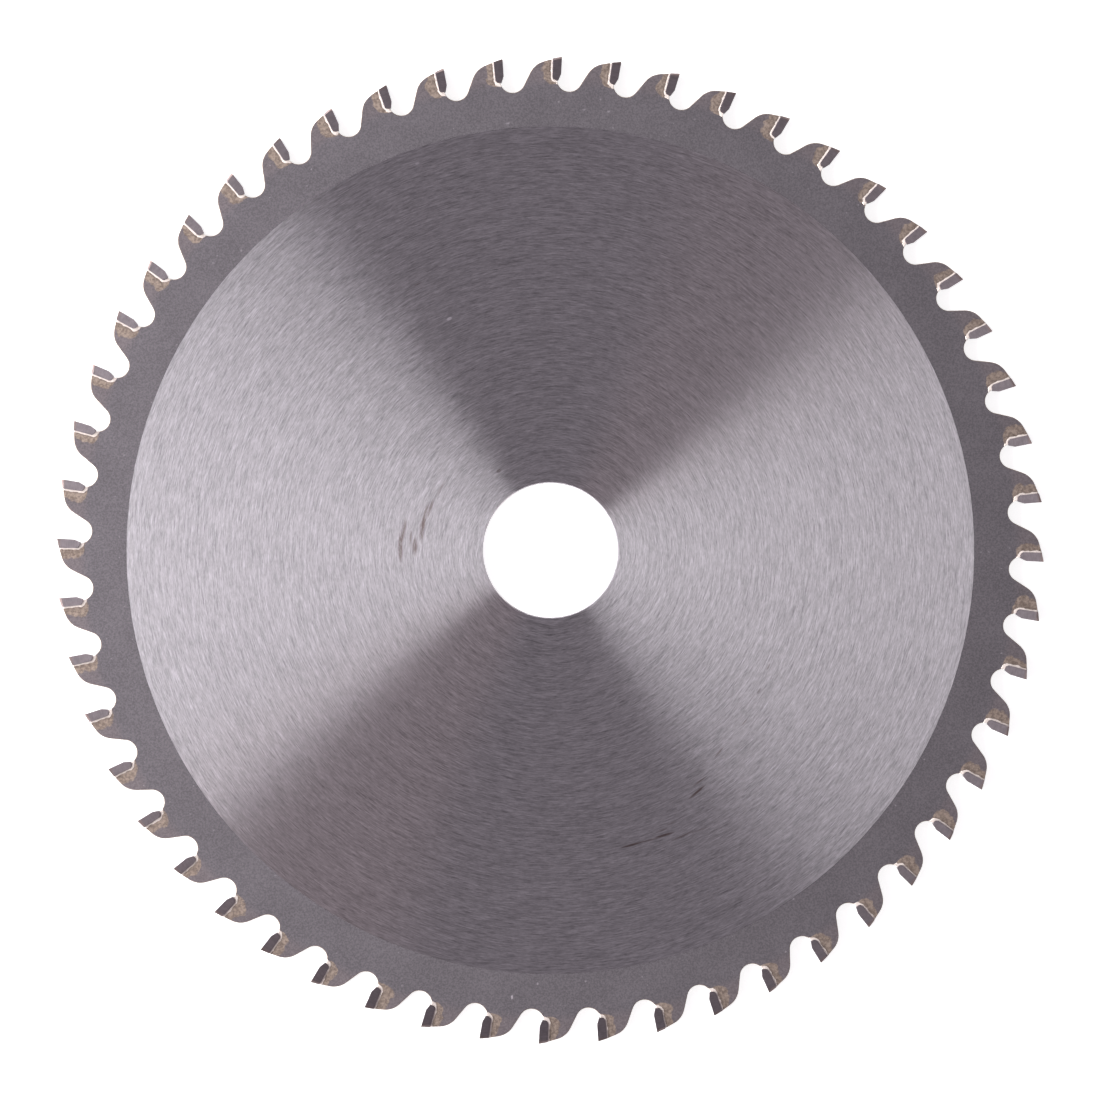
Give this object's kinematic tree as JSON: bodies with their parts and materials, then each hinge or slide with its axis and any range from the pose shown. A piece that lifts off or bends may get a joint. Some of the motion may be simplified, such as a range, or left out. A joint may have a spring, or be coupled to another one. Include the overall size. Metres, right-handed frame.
{
  "type": "circular saw blade",
  "caption": "Flat circular saw blade with radial brazed carbide tips, round gullets, a brushed disc inside a matte toothed ring, and a plain round arbor bore.",
  "frame": {"origin": "centre of the arbor bore, halfway through the plate's thickness", "axes": "+Z along the arbor; the blade lies flat in the XY plane as in the picture, with the picture's right as +X and its top as +Y; seen from +Z the teeth point clockwise"},
  "size_m": [0.2198, 0.22, 0.0026],
  "materials": {
    "plate_steel": "satin",
    "carbide": "satin",
    "braze": "satin"
  },
  "bodies": {
    "root": {"saw_plate": "plate_steel", "carbide_tip_01": "carbide", "carbide_tip_02": "carbide", "carbide_tip_03": "carbide", "carbide_tip_04": "carbide", "carbide_tip_05": "carbide", "carbide_tip_06": "carbide", "carbide_tip_07": "carbide", "carbide_tip_08": "carbide", "carbide_tip_09": "carbide", "carbide_tip_10": "carbide", "carbide_tip_11": "carbide", "carbide_tip_12": "carbide", "carbide_tip_13": "carbide", "carbide_tip_14": "carbide", "carbide_tip_15": "carbide", "carbide_tip_16": "carbide", "carbide_tip_17": "carbide", "carbide_tip_18": "carbide", "carbide_tip_19": "carbide", "carbide_tip_20": "carbide", "carbide_tip_21": "carbide", "carbide_tip_22": "carbide", "carbide_tip_23": "carbide", "carbide_tip_24": "carbide", "carbide_tip_25": "carbide", "carbide_tip_26": "carbide", "carbide_tip_27": "carbide", "carbide_tip_28": "carbide", "carbide_tip_29": "carbide", "carbide_tip_30": "carbide", "carbide_tip_31": "carbide", "carbide_tip_32": "carbide", "carbide_tip_33": "carbide", "carbide_tip_34": "carbide", "carbide_tip_35": "carbide", "carbide_tip_36": "carbide", "carbide_tip_37": "carbide", "carbide_tip_38": "carbide", "carbide_tip_39": "carbide", "carbide_tip_40": "carbide", "carbide_tip_41": "carbide", "carbide_tip_42": "carbide", "carbide_tip_43": "carbide", "carbide_tip_44": "carbide", "carbide_tip_45": "carbide", "carbide_tip_46": "carbide", "carbide_tip_47": "carbide", "carbide_tip_48": "carbide", "carbide_tip_49": "carbide", "carbide_tip_50": "carbide", "carbide_tip_51": "carbide", "carbide_tip_52": "carbide", "braze_joints": "braze"}
  },
  "joints": []
}
